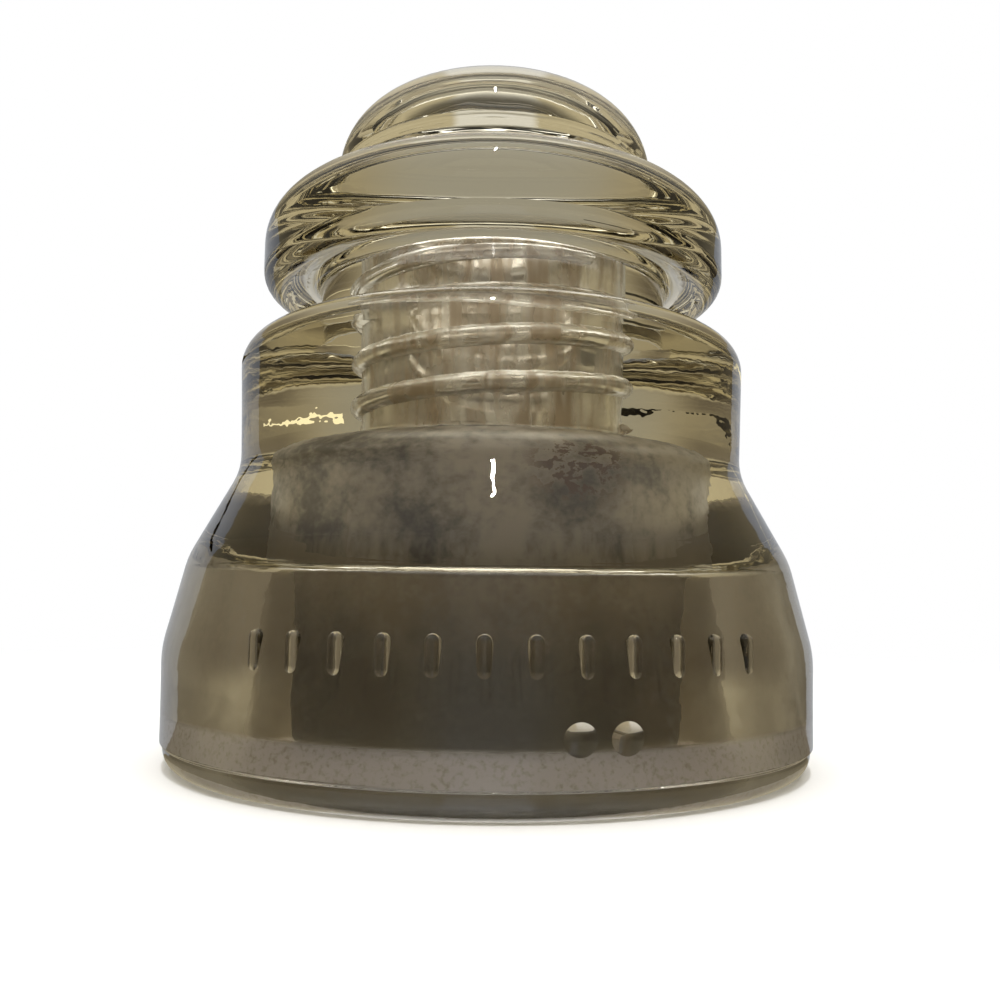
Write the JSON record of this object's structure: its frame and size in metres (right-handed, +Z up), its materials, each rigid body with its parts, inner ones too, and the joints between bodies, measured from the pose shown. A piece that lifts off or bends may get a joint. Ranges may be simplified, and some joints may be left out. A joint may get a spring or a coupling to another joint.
{
  "type": "pin insulator",
  "caption": "One-piece pressed-glass pin insulator: domed crown, two wire grooves around a thick ring, bell skirt, inner petticoat and threaded pin hole.",
  "frame": {"origin": "centre of the base plane, on the axis of the pin hole", "axes": "+Z up along the pin hole's axis, +X right and -Y to the front, where the row of raised marks is"},
  "size_m": [0.092, 0.0922, 0.1005],
  "materials": {
    "smoke_glass": "smooth fire-polished pressed glass with a weak straw and smoke tint, brown-grey dirt on the inner surfaces"
  },
  "bodies": {
    "root": {"glass_body": "smoke_glass"}
  },
  "joints": []
}
